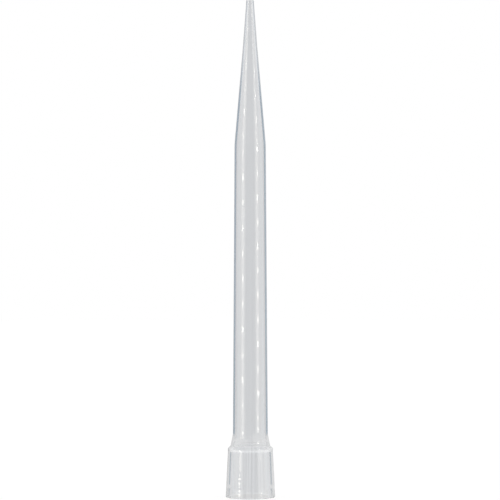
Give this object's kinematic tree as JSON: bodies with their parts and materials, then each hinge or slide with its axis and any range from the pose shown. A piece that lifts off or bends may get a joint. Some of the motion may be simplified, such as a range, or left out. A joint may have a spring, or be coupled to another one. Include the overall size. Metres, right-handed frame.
{
  "type": "pipette tip",
  "caption": "Translucent moulded pipette tip, open right through: tapered collar with a socket for the nozzle, long slim body and a cone down to the orifice.",
  "frame": {"origin": "centre of the mouth rim, on the surface that the tip stands on", "axes": "+Z along the tip's own axis, from the mouth up to the orifice"},
  "size_m": [0.015, 0.015, 0.15],
  "materials": {
    "translucent_polypropylene": "natural, slightly milky polypropylene as it leaves a polished mould"
  },
  "bodies": {
    "root": {"tip": "translucent_polypropylene"}
  },
  "joints": []
}
